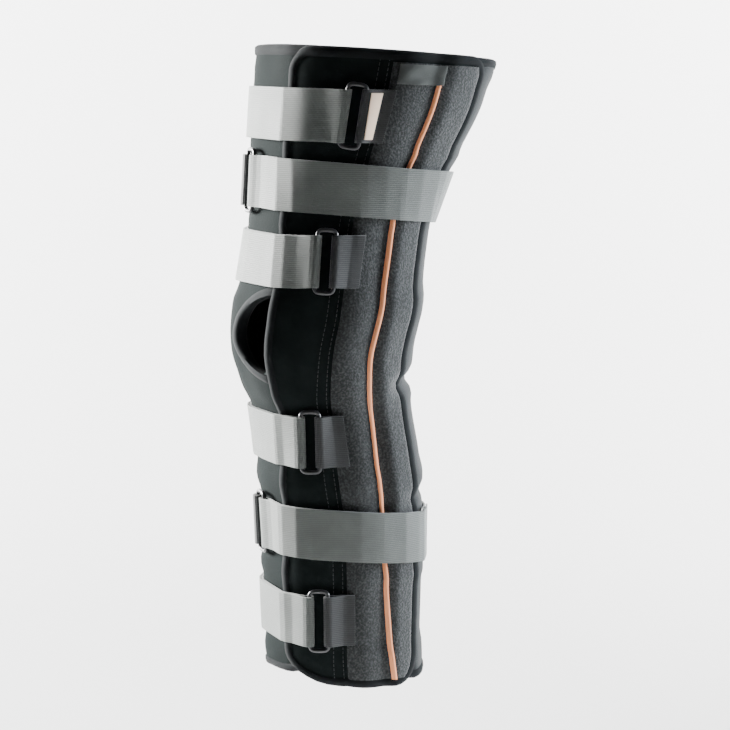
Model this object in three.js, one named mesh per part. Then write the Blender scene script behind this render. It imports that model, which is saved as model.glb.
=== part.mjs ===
// Knee immobilizer: three padded panels closed round a slightly bent leg by six webbing straps.
// Millimetres and degrees. +Z is up, the front of the knee faces -Y, and the origin is the middle of
// the knee's space. Angles run round the leg from the front, towards +X.
import * as THREE from 'three';

// Leg space and panels
const HEIGHT = 496;
const KNEE_HEIGHT = 270;
const THIGH_REACH = 86;
const THIGH_SET_BACK = 48;
const CORNER_SHARPNESS = 12;
const PANEL_THICKNESS = 5.5;
const TOP_EDGE_TILT = 7;
const BOTTOM_EDGE_TILT = 8;
const TOP_CORNER = 16;
const BOTTOM_CORNER = 28;
const FRONT_CORNER_LENGTH = 40;
const REAR_CORNER_LENGTH = 20;
const REAR_EDGE_ANGLE = 115;
const BACK_EDGE_ANGLE = 102;
const UNDERLAP_ANGLE = 38;
const BINDING_WIDTH = 5;
const CLEARANCE = 0.3;
const LAYER_GAP = 0.7;
const FACET_ANGLE = 10;
const LEVEL_COUNT = 16;

// Opening for the kneecap
const KNEECAP_HEIGHT = 66;
const KNEECAP_RISE = 11;
const KNEECAP_FAR_ANGLE = -10;

// Covers and trim
const POCKET_THICKNESS = 1.5;
const PIPING_WIDTH = 3.6;
const PIPING_RISE = 1.2;
const FLAP_FRONT_ANGLE = 69;
const FLAP_THICKNESS = 1.2;
const FLAP_MARGIN = 3;
const LABEL_THICKNESS = 0.8;
const LABEL_WIDTH = 7.5;
const LABEL_MARGIN = 2.5;
const LABEL_OFF_RING = 0.5;

// Webbing and rings
const STRAP_WIDTH = 40;
const STRAP_THICKNESS = 1.6;
const SEWN_ANGLE = 108;
const STRAP_GAP = 0.9;
const COVER_MARGIN_ANGLE = 2.5;
const FOLD_EASE = 13;
const TAB_LENGTH = 18;
const RING_BAR = 4;
const RING_ROOM = 4;
const RING_SLOT = 11;
const RING_CORNER = 4;

// Leg space by height, from the lower edge up, as shares of the thigh's set-back and reach.
const LEG_SECTIONS = [
  { height: 0.00, setBack: 0.42, reach: 0.622 },
  { height: 0.05, setBack: 0.38, reach: 0.640 },
  { height: 0.12, setBack: 0.37, reach: 0.655 },
  { height: 0.20, setBack: 0.37, reach: 0.666 },
  { height: 0.28, setBack: 0.365, reach: 0.669 },
  { height: 0.36, setBack: 0.29, reach: 0.674 },
  { height: 0.43, setBack: 0.19, reach: 0.655 },
  { height: 0.48, setBack: 0.06, reach: 0.692 },
  { height: 0.54, setBack: 0.00, reach: 0.744 },
  { height: 0.60, setBack: 0.10, reach: 0.773 },
  { height: 0.68, setBack: 0.23, reach: 0.756 },
  { height: 0.76, setBack: 0.375, reach: 0.767 },
  { height: 0.84, setBack: 0.605, reach: 0.866 },
  { height: 0.92, setBack: 0.855, reach: 0.977 },
  { height: 1.00, setBack: 1.04, reach: 1.000 },
];

// The flats that make up the leg space's section: where each faces and its share of the reach.
const FLATS = [
  { angle: -145, reach: 1.0 },
  { angle: -98, reach: 1.0 },
  { angle: -49, reach: 1.0 },
  { angle: 0, reach: 1.0 },
  { angle: 49, reach: 1.0 },
  { angle: 98, reach: 1.0 },
  { angle: 145, reach: 1.0 },
  { angle: 180, reach: 1.0 },
];

// Lines on a side panel by height: front edge, seam of the stay pocket and orange piping.
const PANEL_LINES = [
  { height: 0.00, front: 16, seam: 61, piping: 94 },
  { height: 0.20, front: 16.5, seam: 61, piping: 88 },
  { height: 0.36, front: 19, seam: 57.5, piping: 85 },
  { height: 0.43, front: 23, seam: 58.5, piping: 86 },
  { height: 0.54, front: 24.5, seam: 65, piping: 88.5 },
  { height: 0.68, front: 24, seam: 66, piping: 90.5 },
  { height: 0.84, front: 20, seam: 66, piping: 89.5 },
  { height: 1.00, front: 18, seam: 66, piping: 90.5 },
];

// Straps from the top: middle height as a share of the panel's, rise towards the front, the ring's
// angle and lean, the way the strap runs to it and the angle where its folded end lies.
const STRAPS = [
  { height: 0.904, tilt: 3, ring: 53, lean: 9, way: 1, end: -70 },
  { height: 0.787, tilt: 8, ring: -14, lean: 0, way: -1, end: 150 },
  { height: 0.685, tilt: 0, ring: 53, lean: 3, way: 1, end: -70 },
  { height: 0.403, tilt: 0, ring: 43, lean: 0, way: 1, end: -70 },
  { height: 0.245, tilt: 6, ring: -12, lean: 0, way: -1, end: 150 },
  { height: 0.115, tilt: 0, ring: 43, lean: 0, way: 1, end: -70 },
];

const rad = THREE.MathUtils.degToRad;
const deg = THREE.MathUtils.radToDeg;
const mix = THREE.MathUtils.lerp;
const ease = (share) => THREE.MathUtils.smoothstep(share, 0, 1);

// Smooth reading of one column of a table at a height share.
function readTable(table, height, column) {
  const last = table.length - 1;
  const found = table.findIndex((row) => row.height >= height);
  const above = found < 0 ? last : Math.max(found, 1);
  const low = table[above - 1];
  const high = table[above];
  const before = table[Math.max(above - 2, 0)];
  const after = table[Math.min(above + 1, last)];
  const step = high.height - low.height;
  const t = THREE.MathUtils.clamp((height - low.height) / step, 0, 1);
  const slopeLow = step * (high[column] - before[column]) / (high.height - before.height);
  const slopeHigh = step * (after[column] - low[column]) / (after.height - low.height);
  const rise = high[column] - low[column];
  const bend = (3 * rise - 2 * slopeLow - slopeHigh) + (slopeLow + slopeHigh - 2 * rise) * t;
  return low[column] + t * (slopeLow + t * bend);
}

// Size read at the marks on both sides of a place and joined straight between them.
function betweenMarks(place, spacing, size) {
  const mark = Math.floor(place / spacing) * spacing;
  return mix(size(mark), size(mark + spacing), (place - mark) / spacing);
}

const heightShare = (z) => (z + KNEE_HEIGHT) / HEIGHT;
const legSize = (column) => (z) => betweenMarks(heightShare(z), 1 / LEVEL_COUNT, (height) => (
  readTable(LEG_SECTIONS, height, column)
));
const reachShare = legSize('reach');
const setBackShare = legSize('setBack');
const legReach = (z) => THIGH_REACH * reachShare(z);
const legCentre = (z) => THIGH_SET_BACK * setBackShare(z);
const angleOver = (length, z) => deg(length / (legReach(z) + PANEL_THICKNESS));

// Distance of a rounded flat-sided section at an angle, as a share of its reach.
function sectionShare(angle) {
  let sum = 0;
  for (const flat of FLATS) {
    const facing = Math.cos(rad(angle - flat.angle)) / flat.reach;
    sum += Math.max(facing, 0) ** CORNER_SHARPNESS;
  }
  return sum ** (-1 / CORNER_SHARPNESS);
}

// Distance from the leg's centre line to the inside of the splint, straight along each facet.
function legRadius(angle, z) {
  const mark = Math.floor(angle / FACET_ANGLE) * FACET_ANGLE;
  const [first, second] = [sectionShare(mark), sectionShare(mark + FACET_ANGLE)];
  const [past, left] = [rad(angle - mark), rad(mark + FACET_ANGLE - angle)];
  const across = first * Math.sin(past) + second * Math.sin(left);
  return legReach(z) * first * second * Math.sin(rad(FACET_ANGLE)) / across;
}

// Point that stands a given distance off the inside surface.
function offLeg(angle, z, distance) {
  const radius = legRadius(angle, z) + distance;
  const turn = rad(angle);
  return new THREE.Vector3(radius * Math.sin(turn), legCentre(z) - radius * Math.cos(turn), z);
}

// Side panels stand off where they lie over another panel: at the rear, and the near one in front too.
const overlapLift = PANEL_THICKNESS + LAYER_GAP;
const rearRise = (angle) => overlapLift * ease((Math.abs(angle) - REAR_EDGE_ANGLE + 29) / 12);
const frontRise = (angle) => overlapLift * (1 - ease((angle - UNDERLAP_ANGLE - 2) / 24));
const panelLift = (angle) => betweenMarks(angle, FACET_ANGLE, (mark) => (
  rearRise(mark) + (mark > 0 ? frontRise(mark) : 0)
));

const line = (column) => (z) => readTable(PANEL_LINES, heightShare(z), column);
const frontEdge = line('front');
const pocketSeam = line('seam');
const pipingLine = line('piping');

// Angle of the far panel's front edge, with the kneecap notch let into it.
function farFrontEdge(z, inset) {
  const edge = UNDERLAP_ANGLE - angleOver(inset, z);
  const off = (z - KNEECAP_RISE) / (KNEECAP_HEIGHT / 2 + inset);
  if (Math.abs(off) >= 1) return edge;
  return edge - (UNDERLAP_ANGLE - KNEECAP_FAR_ANGLE) * Math.sqrt(1 - off * off);
}

// Panels: where each begins and ends round the leg, and how far its inside stands off the leg.
const NEAR_PANEL = {
  start: (z, inset) => frontEdge(z) + angleOver(inset, z),
  end: (z, inset) => REAR_EDGE_ANGLE - angleOver(inset, z),
  lift: panelLift,
  startCorner: FRONT_CORNER_LENGTH,
  endCorner: REAR_CORNER_LENGTH,
};
const FAR_PANEL = {
  start: (z, inset) => -REAR_EDGE_ANGLE + angleOver(inset, z),
  end: farFrontEdge,
  lift: (angle) => (angle < 0 ? panelLift(angle) : 0),
  startCorner: REAR_CORNER_LENGTH,
  endCorner: FRONT_CORNER_LENGTH,
  notched: true,
};
const BACK_PANEL = {
  start: (z, inset) => BACK_EDGE_ANGLE + angleOver(inset, z),
  end: (z, inset) => 360 - BACK_EDGE_ANGLE - angleOver(inset, z),
  lift: () => 0,
  startCorner: REAR_CORNER_LENGTH,
  endCorner: REAR_CORNER_LENGTH,
};

// How far a rounded corner draws an edge in, at a distance from the corner's end.
function cornerInset(distance, height, length) {
  if (distance >= height) return 0;
  return length * (1 - Math.sqrt(1 - (1 - distance / height) ** 2));
}

// Angle by which the corners draw an upright edge in at a level; length is the lower corner's.
function cornerDraw(level, inset, length) {
  const bottom = cornerInset(level - inset, BOTTOM_CORNER - inset, length - inset);
  const top = cornerInset(HEIGHT - inset - level, TOP_CORNER - inset, TOP_CORNER - inset);
  return angleOver(Math.max(bottom, top), level - KNEE_HEIGHT);
}

// Height of a row's point: the rows near the two ends lean with the panels' edges, which are higher
// in front.
function leaningHeight(level, angle) {
  const topShare = Math.max(0, level / HEIGHT - 0.875) * 8;
  const bottomShare = Math.max(0, 0.125 - level / HEIGHT) * 8;
  const front = Math.cos(rad(angle));
  const topLean = topShare * TOP_EDGE_TILT * front;
  const bottomLean = bottomShare * BOTTOM_EDGE_TILT * Math.max(0, front) ** 2;
  return level - KNEE_HEIGHT + topLean + bottomLean;
}

// Marks from first to last, with both ends drawn in and no two in one place.
function drawnIn(marks, first, last) {
  return marks.map((mark, k) => {
    if (k === 0) return first;
    if (k === marks.length - 1) return last;
    return THREE.MathUtils.clamp(mark, first + 0.25 * k, last - 0.25 * (marks.length - 1 - k));
  });
}

// Heights of a panel's rows, closer together round its corners and its notch.
function rowLevels(panel, inset) {
  const middle = KNEE_HEIGHT + KNEECAP_RISE;
  const half = KNEECAP_HEIGHT / 2;
  const notchEnd = half + BINDING_WIDTH + 5;
  const levels = [0, HEIGHT];
  for (let k = 1; k < LEVEL_COUNT; k += 1) {
    const level = k * HEIGHT / LEVEL_COUNT;
    if (!panel.notched || Math.abs(level - middle) > notchEnd) levels.push(level);
  }
  for (const turn of [30, 50, 70]) {
    const draw = 1 - Math.cos(rad(turn));
    levels.push(BOTTOM_CORNER * draw, HEIGHT - TOP_CORNER * draw);
  }
  if (panel.notched) {
    for (const turn of [-90, -70, -50, -30, -10, 10, 30, 50, 70, 90]) {
      levels.push(middle + (half + inset) * Math.sin(rad(turn)));
    }
    levels.push(middle - notchEnd + 2, middle + notchEnd - 2);
  }
  return drawnIn(levels.sort((a, b) => a - b), inset, HEIGHT - inset);
}

// Facet corners between two angles, with the two angles themselves.
function columnMarks(from, to) {
  const marks = [from];
  const first = Math.floor(from / FACET_ANGLE) + 1;
  for (let angle = first * FACET_ANGLE; angle < to; angle += FACET_ANGLE) marks.push(angle);
  return [...marks, to];
}

// Angles of the columns of one row; the widest row decides which facet corners are among them.
function rowAngles(start, end, widest) {
  return drawnIn(columnMarks(...widest), start, end);
}

// Grid of spots over a panel with its whole outline drawn in by the inset.
function panelGrid(panel, inset) {
  const levels = rowLevels(panel, inset);
  const bare = levels.map((level) => level - KNEE_HEIGHT);
  const widest = [
    Math.min(...bare.map((z) => panel.start(z, 0))),
    Math.max(...bare.map((z) => panel.end(z, 0))),
  ];
  return levels.map((level, row) => {
    const start = panel.start(bare[row], inset) + cornerDraw(level, inset, panel.startCorner);
    const end = panel.end(bare[row], inset) - cornerDraw(level, inset, panel.endCorner);
    return rowAngles(start, end, widest).map((angle) => ({ angle, z: leaningHeight(level, angle) }));
  });
}

// Closed body from rings of points; every ring has the same number of points. The two faces of a
// flat body are split the same way, so that it keeps its thickness where it is twisted.
function sweptGeometry(rings, closed) {
  const count = rings[0].length;
  const faces = [];
  const steps = closed ? rings.length : rings.length - 1;
  for (let k = 0; k < steps; k += 1) {
    const next = (k + 1) % rings.length;
    for (let j = 0; j < count; j += 1) {
      const turn = (j + 1) % count;
      const [a, b, c, d] = [k * count + j, next * count + j, next * count + turn, k * count + turn];
      if (j < count / 2) faces.push(a, b, d, b, c, d);
      else faces.push(a, b, c, a, c, d);
    }
  }
  const last = (rings.length - 1) * count;
  for (let j = 1; j < count - 1 && !closed; j += 1) {
    faces.push(0, j, j + 1, last, last + j + 1, last + j);
  }
  return solidGeometry(rings.flat(), faces);
}

function solidGeometry(points, faces) {
  const geometry = new THREE.BufferGeometry().setFromPoints(points);
  geometry.setIndex(faces);
  geometry.computeVertexNormals();
  return geometry;
}

// Closed sheet over a grid of spots, standing off the leg between two distances.
function sheetGeometry(grid, inside, thickness) {
  const columns = grid[0].length;
  const points = [thickness, 0].flatMap((rise) => (
    grid.flat().map(({ angle, z }) => offLeg(angle, z, inside(angle) + rise))
  ));
  const faces = [];
  const at = (layer, row, column) => (layer * grid.length + row) * columns + column;
  const quad = (a, b, c, d) => faces.push(a, b, c, a, c, d);
  const top = grid.length - 1;
  const last = columns - 1;
  for (let row = 0; row < top; row += 1) {
    const up = row + 1;
    for (let column = 0; column < last; column += 1) {
      const right = column + 1;
      quad(at(0, row, column), at(0, row, right), at(0, up, right), at(0, up, column));
      quad(at(1, row, column), at(1, up, column), at(1, up, right), at(1, row, right));
    }
    quad(at(0, row, 0), at(0, up, 0), at(1, up, 0), at(1, row, 0));
    quad(at(1, row, last), at(1, up, last), at(0, up, last), at(0, row, last));
  }
  for (let column = 0; column < last; column += 1) {
    const right = column + 1;
    quad(at(1, 0, column), at(1, 0, right), at(0, 0, right), at(0, 0, column));
    quad(at(0, top, column), at(0, top, right), at(1, top, right), at(1, top, column));
  }
  return solidGeometry(points, faces);
}

// Foam body of a panel, inside its binding.
function panelGeometry(panel) {
  return sheetGeometry(panelGrid(panel, BINDING_WIDTH + CLEARANCE), panel.lift, PANEL_THICKNESS);
}

// Spots along a grid's four sides, once round.
function gridRim(grid) {
  const rows = grid.map((row) => [row[0], row[row.length - 1]]);
  return [
    ...grid[0].slice(0, -1),
    ...rows.slice(0, -1).map((row) => row[1]),
    ...grid[grid.length - 1].slice(1).reverse(),
    ...rows.slice(1).reverse().map((row) => row[0]),
  ];
}

// Binding tape that frames a panel.
function bindingGeometry(panel) {
  const inner = gridRim(panelGrid(panel, BINDING_WIDTH));
  const stand = (spot, rise) => offLeg(spot.angle, spot.z, panel.lift(spot.angle) + rise);
  const rings = gridRim(panelGrid(panel, 0)).map((rim, k) => [
    stand(rim, PANEL_THICKNESS),
    stand(inner[k], PANEL_THICKNESS),
    stand(inner[k], 0),
    stand(rim, 0),
  ]);
  return sweptGeometry(rings, true);
}

const pocketLift = (angle) => panelLift(angle) + PANEL_THICKNESS + CLEARANCE;
const pocketInset = BINDING_WIDTH + 1;

// Brushed cover of a stay pocket; side is 1 on the near panel and -1 on the far one.
function pocketGeometry(side) {
  const levels = rowLevels(side > 0 ? NEAR_PANEL : FAR_PANEL, pocketInset);
  const seams = levels.map((level) => pocketSeam(level - KNEE_HEIGHT));
  const widest = [Math.min(...seams), REAR_EDGE_ANGLE];
  const grid = levels.map((level, row) => {
    const edge = REAR_EDGE_ANGLE - angleOver(pocketInset, level - KNEE_HEIGHT);
    const end = edge - cornerDraw(level, pocketInset, REAR_CORNER_LENGTH);
    const spots = rowAngles(seams[row], end, widest).map((angle) => side * angle);
    if (side < 0) spots.reverse();
    return spots.map((angle) => ({ angle, z: leaningHeight(level, angle) }));
  });
  return sheetGeometry(grid, pocketLift, POCKET_THICKNESS);
}

// Piping down a stay pocket; the near one ends under the flap's lower edge.
function pipingGeometry(side) {
  const section = [[1, 0], [0.6, 1], [-0.6, 1], [-1, 0]];
  const panel = side > 0 ? NEAR_PANEL : FAR_PANEL;
  const last = side > 0 ? flapLow() - CLEARANCE : HEIGHT;
  const levels = rowLevels(panel, pocketInset).filter((level) => level < last - 1);
  if (side > 0) levels.push(last);
  const rings = levels.map((level) => {
    const z = level - KNEE_HEIGHT;
    const half = angleOver(PIPING_WIDTH / 2, z);
    return section.map(([share, rise]) => {
      const angle = side * pipingLine(z) + share * half;
      const base = pocketLift(angle) + POCKET_THICKNESS + CLEARANCE;
      return offLeg(angle, leaningHeight(level, angle), base + rise * PIPING_RISE);
    });
  });
  return sweptGeometry(rings, false);
}

const strapMiddle = (strap) => strap.height * HEIGHT - KNEE_HEIGHT;
const strapLevel = (strap, angle, up) => (
  strapMiddle(strap) + strap.tilt * Math.cos(rad(angle)) + (up - 0.5) * STRAP_WIDTH
);

// Level of the flap's lower edge.
function flapLow() {
  return strapLevel(STRAPS[0], FLAP_FRONT_ANGLE, 1) + KNEE_HEIGHT + FLAP_MARGIN;
}

// Flap at the top of the near stay pocket, from near its seam to over the piping's line.
function flapGeometry() {
  const low = flapLow();
  const levels = [low, mix(low, HEIGHT - pocketInset, 0.5), HEIGHT - pocketInset - FLAP_MARGIN];
  const grid = levels.map((level) => {
    const z = level - KNEE_HEIGHT;
    const rear = pipingLine(z) + angleOver(PIPING_WIDTH / 2, z);
    return columnMarks(FLAP_FRONT_ANGLE, rear).map((angle) => ({ angle, z: leaningHeight(level, angle) }));
  });
  const inside = (angle) => pocketLift(angle) + POCKET_THICKNESS + CLEARANCE;
  return sheetGeometry(grid, inside, FLAP_THICKNESS);
}

// Distance of the outermost face off the leg, at an angle and a height.
function outerLift(angle, z) {
  const turn = angle > 180 ? angle - 360 : angle;
  const size = Math.abs(turn);
  if (size > REAR_EDGE_ANGLE || (turn < frontEdge(z) && size < pocketSeam(z))) return PANEL_THICKNESS;
  if (size < pocketSeam(z)) return panelLift(turn) + PANEL_THICKNESS;
  const onPiping = Math.abs(size - pipingLine(z)) < angleOver(PIPING_WIDTH, z);
  return pocketLift(turn) + POCKET_THICKNESS + (onPiping ? CLEARANCE + PIPING_RISE : 0);
}

// The same with each edge and seam taken a little wider than it is, as webbing has to clear it.
const coverLift = (angle, z) => Math.max(...[-1, 0, 1].map((side) => (
  outerLift(angle + side * COVER_MARGIN_ANGLE, z)
)));

// Angles where a strap can touch: facet corners, panel edges, seams and piping, both ways round.
function touchAngles(z) {
  const edges = [frontEdge(z), REAR_EDGE_ANGLE, -REAR_EDGE_ANGLE];
  for (const side of [-1, 1]) {
    const half = angleOver(PIPING_WIDTH / 2, z);
    edges.push(side * pocketSeam(z), side * (pipingLine(z) - half), side * (pipingLine(z) + half));
  }
  for (let angle = -180; angle < 180; angle += FACET_ANGLE) edges.push(angle);
  return edges.sort((a, b) => a - b);
}

const DIRECTIONS = Array.from({ length: 120 }, (_, k) => k * 3 - 177);
const outward = (angle) => new THREE.Vector3(Math.sin(rad(angle)), -Math.cos(rad(angle)), 0);
const evenShares = (count) => Array.from({ length: count + 1 }, (_, k) => k / count);

// Curves that a strap's two edges take when it is drawn tight round the splint.
function tautCurve(strap) {
  const centre = new THREE.Vector3(0, legCentre(strapMiddle(strap)), 0);
  const levels = evenShares(8);
  const reaches = levels.map((up) => {
    const angles = touchAngles(strapLevel(strap, 0, up));
    const points = angles.map((angle) => {
      const z = strapLevel(strap, angle, up);
      return offLeg(angle, z, coverLift(angle, z) + STRAP_GAP).sub(centre);
    });
    return DIRECTIONS.map((angle) => Math.max(...points.map((point) => point.dot(outward(angle)))));
  });
  const bulges = DIRECTIONS.map((_, k) => Math.max(...levels.map((up, level) => (
    reaches[level][k] - mix(reaches[0][k], reaches[levels.length - 1][k], up)
  ))));
  const radius = (angle, up) => Math.min(...DIRECTIONS.map((direction, k) => {
    const facing = Math.cos(rad(direction - angle));
    const reach = mix(reaches[0][k], reaches[levels.length - 1][k], up) + bulges[k];
    return facing > 0.5 ? reach / facing : Infinity;
  }));
  const point = (angle, up) => {
    const spot = outward(angle).multiplyScalar(radius(angle, up)).add(centre);
    return spot.setZ(strapLevel(strap, angle, up));
  };
  return { point, centre };
}

// Curves that lie on the splint itself, for the sewn tabs.
function surfaceCurve(strap) {
  const onSplint = (angle, up) => {
    const z = strapLevel(strap, angle, up);
    return offLeg(angle, z, coverLift(angle, z) + 1.5 * CLEARANCE);
  };
  const centre = new THREE.Vector3(0, legCentre(strapMiddle(strap)), 0);
  const point = (angle, up) => {
    const [low, high] = [onSplint(angle, 0), onSplint(angle, 1)];
    const bulges = evenShares(8).map((share) => (
      onSplint(angle, share).sub(low.clone().lerp(high, share)).dot(outward(angle))
    ));
    return low.lerp(high, up).addScaledVector(outward(angle), Math.max(...bulges));
  };
  return { point, centre };
}

// Direction square to a curve, pointing away from the leg.
function curveNormal(curve, angle, up) {
  const along = curve.point(angle + 2, up).sub(curve.point(angle - 2, up)).setZ(0).normalize();
  return new THREE.Vector3(along.y, -along.x, 0);
}

function offCurve(curve, angle, up, distance) {
  return curve.point(angle, up).addScaledVector(curveNormal(curve, angle, up), distance);
}

const barRadius = RING_BAR / 2;
const barSpacing = RING_SLOT + RING_BAR;
const layerRise = STRAP_THICKNESS + CLEARANCE;

// Place of a ring: its middle, the strap's directions there (along, up and outward) and the step
// along a leaning bar for 1 mm of height.
function ringFrame(strap, curve) {
  const low = curve.point(strap.ring, 0);
  const high = curve.point(strap.ring, 1);
  const up = high.clone().sub(low).normalize();
  const out = curveNormal(curve, strap.ring, 0.5);
  out.addScaledVector(up, -out.dot(up)).normalize();
  const along = up.clone().cross(out);
  const middle = low.lerp(high, 0.5).addScaledVector(out, layerRise + barRadius);
  const bar = up.clone().addScaledVector(along, Math.tan(rad(strap.lean)));
  return { middle, along, up, out, bar, spacing: barSpacing / Math.cos(rad(strap.lean)) };
}

// Angles along webbing from its far end to a ring bar, closer together where it lifts to the bar.
function webbingAngles(fold, barAngle, end, unit, z) {
  const near = fold.near.map((length) => barAngle - fold.way * length * unit);
  const beyond = near[near.length - 1];
  const marks = touchAngles(z).flatMap((angle) => [angle, angle + 360]);
  const between = marks.filter((mark) => (mark - end) * fold.way > 1 && (beyond - mark) * fold.way > 1);
  return [...near, ...between, end].sort((a, b) => (a - b) * fold.way);
}

const turnRadius = barRadius + CLEARANCE + STRAP_THICKNESS / 2;
const labelEdges = [barRadius + LABEL_OFF_RING, barRadius + LABEL_OFF_RING + LABEL_WIDTH];

// Place of the ring bar that webbing turns round, its angle and the angle that 1 mm takes there.
function barPlace(curve, frame, fold) {
  const middle = frame.middle.clone().addScaledVector(frame.along, fold.bar * frame.spacing / 2);
  const off = middle.clone().sub(curve.centre);
  return { middle, angle: deg(Math.atan2(off.x, -off.y)), unit: angleOver(1, middle.z) };
}

// One layer of webbing between a ring bar and an angle: side is 1 over the bar and -1 under it.
function layerPath(curve, frame, edge, fold, angles, side) {
  const bar = barPlace(curve, frame, fold);
  const height = STRAP_THICKNESS / 2 + (side > 0 ? layerRise : 0);
  const atBar = bar.middle.clone()
    .addScaledVector(frame.bar, (edge - 0.5) * STRAP_WIDTH)
    .addScaledVector(frame.out, side * turnRadius);
  return angles.map((angle) => {
    const length = Math.abs(bar.angle - angle) / bar.unit;
    const straight = atBar.clone().addScaledVector(frame.along, -fold.way * length);
    return straight.lerp(offCurve(curve, angle, edge, height), ease(length / FOLD_EASE));
  });
}

// Path of one webbing edge that runs to a ring bar, round it and back over itself.
function foldedPath(curve, frame, edge, fold) {
  const bar = barPlace(curve, frame, fold);
  const centre = bar.middle.clone().addScaledVector(frame.bar, (edge - 0.5) * STRAP_WIDTH);
  const run = (end, side) => {
    const angles = webbingAngles(fold, bar.angle, end, bar.unit, bar.middle.z);
    return layerPath(curve, frame, edge, fold, angles, side);
  };
  const turned = [0, 30, 60, 90, 120, 150, 180].map((turn) => (
    centre.clone()
      .addScaledVector(frame.out, -Math.cos(rad(turn)) * turnRadius)
      .addScaledVector(frame.along, fold.way * Math.sin(rad(turn)) * turnRadius)
  ));
  return [...run(fold.start, -1), ...turned, ...run(fold.end, 1).reverse()];
}

// Flat webbing along two edge paths.
function webbingGeometry(lowPath, highPath, thickness) {
  const side = (path, k) => {
    const along = path[Math.min(k + 1, path.length - 1)].clone().sub(path[Math.max(k - 1, 0)]);
    along.setZ(0).normalize();
    return new THREE.Vector3(along.y, -along.x, 0).multiplyScalar(thickness / 2);
  };
  const rings = lowPath.map((low, k) => {
    const high = highPath[k];
    const [lowSide, highSide] = [side(lowPath, k), side(highPath, k)];
    return [
      low.clone().add(lowSide),
      high.clone().add(highSide),
      high.clone().sub(highSide),
      low.clone().sub(lowSide),
    ];
  });
  return sweptGeometry(rings, false);
}

function strapGeometry(strap, curve, frame) {
  const start = strap.way > 0 ? -SEWN_ANGLE : 360 - SEWN_ANGLE;
  const near = [0.15, 0.35, 0.6, 1].map((share) => share * FOLD_EASE);
  const fold = { bar: -strap.way, way: strap.way, start, end: strap.end, near };
  const paths = [0, 1].map((edge) => foldedPath(curve, frame, edge, fold));
  return webbingGeometry(paths[0], paths[1], STRAP_THICKNESS);
}

// Angle where a ring's tab ends, behind the ring.
function tabEnd(strap, frame) {
  return strap.ring + strap.way * angleOver(barSpacing / 2 + TAB_LENGTH, frame.middle.z);
}

function tabFold(strap, frame) {
  const sewn = tabEnd(strap, frame);
  const near = [0.1 * FOLD_EASE, ...labelEdges, FOLD_EASE];
  return { bar: strap.way, way: -strap.way, start: sewn, end: sewn, near };
}

function tabGeometry(strap, frame) {
  const curve = surfaceCurve(strap);
  const paths = [0, 1].map((edge) => foldedPath(curve, frame, edge, tabFold(strap, frame)));
  return webbingGeometry(paths[0], paths[1], STRAP_THICKNESS);
}

// Rectangular ring with round bars, lying in its own XY plane.
function ringGeometry() {
  const across = barSpacing / 2 - RING_CORNER;
  const tall = (STRAP_WIDTH + RING_ROOM + RING_BAR) / 2 - RING_CORNER;
  const corners = [[1, 1], [-1, 1], [-1, -1], [1, -1]];
  const rings = corners.flatMap(([signX, signY], quarter) => [0, 30, 60, 90].map((turn) => {
    const angle = rad(quarter * 90 + turn);
    const facing = new THREE.Vector3(Math.cos(angle), Math.sin(angle), 0);
    const middle = new THREE.Vector3(signX * across, signY * tall, 0).addScaledVector(facing, RING_CORNER);
    return [0, 60, 120, 180, 240, 300].map((roll) => (
      middle.clone()
        .addScaledVector(facing, Math.cos(rad(roll)) * barRadius)
        .setZ(Math.sin(rad(roll)) * barRadius)
    ));
  }));
  return sweptGeometry(rings, true);
}

// Narrow strip sewn across the first ring's tab, next to the ring.
function labelGeometry(strap, frame) {
  const curve = surfaceCurve(strap);
  const fold = tabFold(strap, frame);
  const bar = barPlace(curve, frame, fold);
  const angles = labelEdges.map((length) => bar.angle + strap.way * length * bar.unit);
  const rise = (STRAP_THICKNESS + LABEL_THICKNESS) / 2 + CLEARANCE;
  const margin = LABEL_MARGIN / STRAP_WIDTH;
  const paths = [margin, 1 - margin].map((edge) => {
    const ends = layerPath(curve, frame, edge, fold, angles, 1);
    const along = ends[1].clone().sub(ends[0]).setZ(0).normalize();
    const off = new THREE.Vector3(along.y, -along.x, 0).multiplyScalar(rise);
    return ends.map((point) => point.add(off));
  });
  return webbingGeometry(paths[0], paths[1], LABEL_THICKNESS);
}

function fabric(color, roughness) {
  return new THREE.MeshStandardMaterial({ color, roughness, metalness: 0 });
}

const foamLaminate = fabric('#26282b', 0.85);
const bindingTape = fabric('#2b2d31', 0.8);
const brushedCover = fabric('#34363a', 0.95);
const greyWebbing = fabric('#7c817e', 0.8);
const tabWebbing = fabric('#232527', 0.8);
const orangePiping = fabric('#d98a5f', 0.7);
const flapCloth = fabric('#5d6063', 0.8);
const peachLabel = fabric('#e3b492', 0.7);
const ringPlastic = new THREE.MeshStandardMaterial({ color: '#1d1e20', roughness: 0.35, metalness: 0.1 });

const group = new THREE.Group();
group.name = 'knee_immobilizer';

function addMesh(name, geometry, material) {
  const mesh = new THREE.Mesh(geometry, material);
  mesh.name = name;
  group.add(mesh);
  return mesh;
}

addMesh('back_panel', panelGeometry(BACK_PANEL), foamLaminate);
addMesh('side_panel_near', panelGeometry(NEAR_PANEL), foamLaminate);
addMesh('side_panel_far', panelGeometry(FAR_PANEL), foamLaminate);
addMesh('binding_back', bindingGeometry(BACK_PANEL), bindingTape);
addMesh('binding_near', bindingGeometry(NEAR_PANEL), bindingTape);
addMesh('binding_far', bindingGeometry(FAR_PANEL), bindingTape);
addMesh('stay_pocket_near', pocketGeometry(1), brushedCover);
addMesh('stay_pocket_far', pocketGeometry(-1), brushedCover);
addMesh('piping_near', pipingGeometry(1), orangePiping);
addMesh('piping_far', pipingGeometry(-1), orangePiping);
addMesh('pocket_flap_near', flapGeometry(), flapCloth);

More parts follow.
